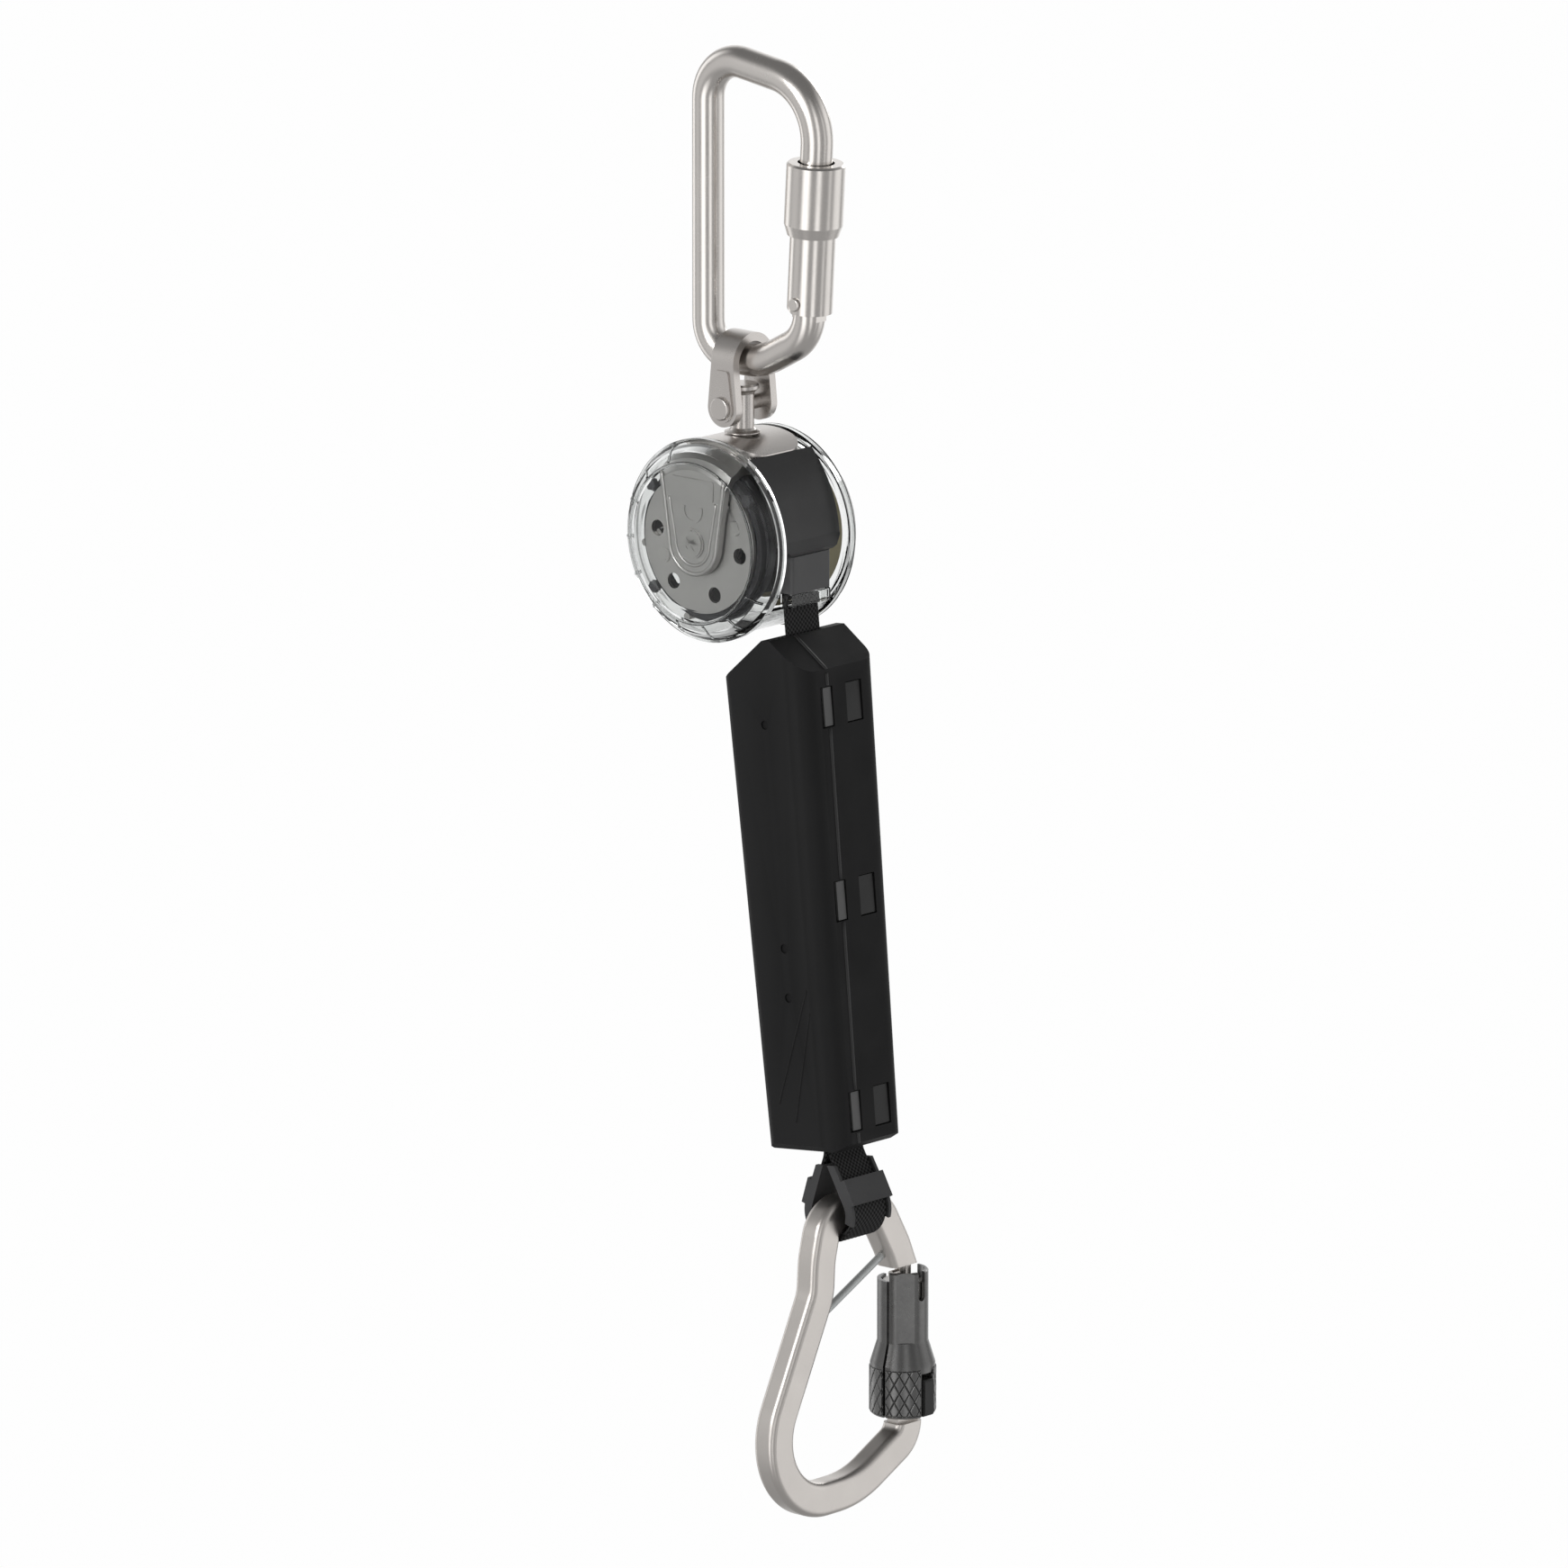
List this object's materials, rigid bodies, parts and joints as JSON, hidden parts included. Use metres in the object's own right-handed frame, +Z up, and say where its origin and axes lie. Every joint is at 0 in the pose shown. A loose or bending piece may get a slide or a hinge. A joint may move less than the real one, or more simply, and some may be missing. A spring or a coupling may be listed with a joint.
{
  "type": "self retracting lifeline",
  "caption": "Overhead fall arrest unit: steel anchor carabiner and swivel, clear drum housing with retracting webbing, energy absorber pack and harness carabiner.",
  "frame": {"origin": "inner surface of the upper carabiner's bow, where the anchor bears, straight above the swivel axis", "axes": "+Z up, opposite the hang; the upper carabiner lies in the XZ plane with its gate on +X; the drum axis is along Y and the clear front cover faces -Y"},
  "size_m": [0.0954, 0.0828, 0.5004],
  "materials": {
    "steel_bar": "satin zinc-nickel steel",
    "shackle_steel": "satin stainless steel",
    "frame_steel": "dull stainless steel",
    "clear_cover": "clear polycarbonate, polished",
    "black_band": "fine satin moulded plastic",
    "nozzle_grey": "fine satin moulded plastic",
    "inner_dark": "dark moulded nylon",
    "bush_bronze": "sintered bronze",
    "spring_case_olive": "olive moulded plastic",
    "spring_steel": "spring steel, oiled",
    "webbing": "woven high tenacity fibre webbing",
    "case_plastic": "satin black moulded plastic",
    "latch_grey": "satin dark grey moulded plastic",
    "guard_plastic": "dark grey moulded elastomer",
    "aluminium_body": "satin bead blasted aluminium",
    "captive_grey": "dull zinc plated steel",
    "gate_steel": "satin steel",
    "gunmetal_sleeve": "gunmetal, semi gloss, knurled foot",
    "trigger_black": "black moulded plastic"
  },
  "bodies": {
    "upper_connector": {"upper_carabiner_body": "steel_bar", "upper_gate_rivet": "steel_bar"},
    "upper_gate": {"upper_gate": "steel_bar", "upper_gate_plunger": "spring_steel", "upper_gate_spring": "spring_steel"},
    "upper_sleeve": {"upper_sleeve": "steel_bar", "upper_sleeve_spring": "spring_steel"},
    "shackle": {"shackle": "shackle_steel", "shackle_pin": "shackle_steel"},
    "swivel": {"swivel_stud": "shackle_steel", "swivel_washer": "shackle_steel", "swivel_nut": "shackle_steel"},
    "housing": {"load_frame": "frame_steel", "top_plate": "shackle_steel", "front_cover": "clear_cover", "rear_cover": "clear_cover", "cover_screws": "frame_steel", "cover_posts": "inner_dark", "side_band": "black_band", "web_nozzle": "nozzle_grey", "exit_guard": "clear_cover", "drum_shaft": "frame_steel", "shaft_screw": "frame_steel", "ratchet_ring": "inner_dark", "spring_case": "spring_case_olive", "power_spring": "spring_steel", "web_lead": "webbing"},
    "drum": {"front_bushing": "bush_bronze", "rear_bushing": "bush_bronze", "drum_core": "inner_dark", "drum_front_flange": "inner_dark", "drum_rear_flange": "inner_dark", "web_roll": "webbing", "web_anchor_pin": "frame_steel", "pawl_disc": "frame_steel", "spring_arbor": "inner_dark", "pawl_pins": "frame_steel"},
    "pawl_a": {"pawl_a": "frame_steel"},
    "pawl_b": {"pawl_b": "frame_steel"},
    "line": {"web_line": "webbing"},
    "absorber": {"absorber_front_shell": "case_plastic", "absorber_rear_shell": "case_plastic", "absorber_latches": "latch_grey", "tear_web_pack": "webbing", "connector_web_loop": "webbing", "loop_guard": "guard_plastic"},
    "lower_connector": {"lower_carabiner_body": "aluminium_body", "captive_bar": "captive_grey", "lower_gate_pin": "gate_steel"},
    "lower_gate": {"lower_gate": "gate_steel", "lower_gate_plunger": "spring_steel", "lower_gate_spring": "spring_steel"},
    "lower_sleeve": {"lower_sleeve": "gunmetal_sleeve"},
    "sleeve_trigger": {"sleeve_trigger": "trigger_black"}
  },
  "joints": [
    {"name": "upper_gate_swing", "type": "hinge", "parent": "upper_connector", "child": "upper_gate", "pos_m": [0.03061, 0, -0.07252], "axis": [0, -1, 0], "range_deg": [0, 22], "stiffness_Nm_per_rad": 0.5, "springref_deg": -17.19},
    {"name": "upper_sleeve_slide", "type": "slide", "parent": "upper_gate", "child": "upper_sleeve", "axis": [-0.0581, 0, -0.9983], "range_m": [0, 0.0185], "stiffness_N_per_m": 100, "springref_m": -0.02, "deforming": ["upper_sleeve_spring"]},
    {"name": "shackle_swing", "type": "hinge", "parent": "upper_connector", "child": "shackle", "pos_m": [0, 0, -0.0964], "axis": [1, 0, 0], "range_deg": [-60, 60]},
    {"name": "swivel_tilt", "type": "hinge", "parent": "shackle", "child": "swivel", "pos_m": [0, 0, -0.112], "axis": [0, 1, 0], "range_deg": [-45, 45]},
    {"name": "housing_swivel", "type": "hinge", "parent": "swivel", "child": "housing", "pos_m": [0, 0, -0.122], "axis": [0, 0, 1], "continuous": true},
    {"name": "drum_spin", "type": "hinge", "parent": "housing", "child": "drum", "pos_m": [0, 0, -0.1562], "axis": [0, 1, 0], "range_deg": [0, 4501]},
    {"name": "pawl_a_swing", "type": "hinge", "parent": "drum", "child": "pawl_a", "pos_m": [0.01565, -0.0184, -0.14956], "axis": [0, -1, 0], "range_deg": [0, 33], "stiffness_Nm_per_rad": 0.002, "springref_deg": -11.46},
    {"name": "pawl_b_swing", "type": "hinge", "parent": "drum", "child": "pawl_b", "pos_m": [-0.01565, -0.0184, -0.16284], "axis": [0, -1, 0], "range_deg": [0, 33.1]},
    {"name": "line_swing", "type": "hinge", "parent": "housing", "child": "line", "pos_m": [0.0263, 0, -0.177], "axis": [0, -1, 0], "range_deg": [-10, 35]},
    {"name": "line_payout", "type": "slide", "parent": "line", "child": "absorber", "axis": [0.1045, 0, -0.9945], "range_m": [0, 1.3], "stiffness_N_per_m": 4, "springref_m": -3.5},
    {"name": "connector_swing", "type": "hinge", "parent": "absorber", "child": "lower_connector", "pos_m": [0.04811, 0, -0.38456], "axis": [0, 1, 0], "range_deg": [-27, 27]},
    {"name": "lower_gate_swing", "type": "hinge", "parent": "lower_connector", "child": "lower_gate", "pos_m": [0.0481, 0.0281, -0.457], "axis": [1, 0, 0], "range_deg": [0, 20], "stiffness_Nm_per_rad": 0.4, "springref_deg": -17.19},
    {"name": "lower_sleeve_twist", "type": "hinge", "parent": "lower_gate", "child": "lower_sleeve", "pos_m": [0.0481, 0.0281, -0.436], "axis": [0, 0, 1], "range_deg": [-60.1, 0]},
    {"name": "trigger_press", "type": "slide", "parent": "lower_sleeve", "child": "sleeve_trigger", "axis": [-1, 0, 0], "range_m": [0, 0.001], "stiffness_N_per_m": 300, "springref_m": -0.002}
  ],
  "couplings": [
    {"joint": "upper_sleeve_slide", "follows": "upper_gate_swing", "m_per_rad": 0.048},
    {"joint": "drum_spin", "follows": "line_payout", "rad_per_m": 60.415},
    {"joint": "pawl_b_swing", "follows": "pawl_a_swing", "ratio": 1},
    {"joint": "lower_sleeve_twist", "follows": "lower_gate_swing", "ratio": -3}
  ]
}
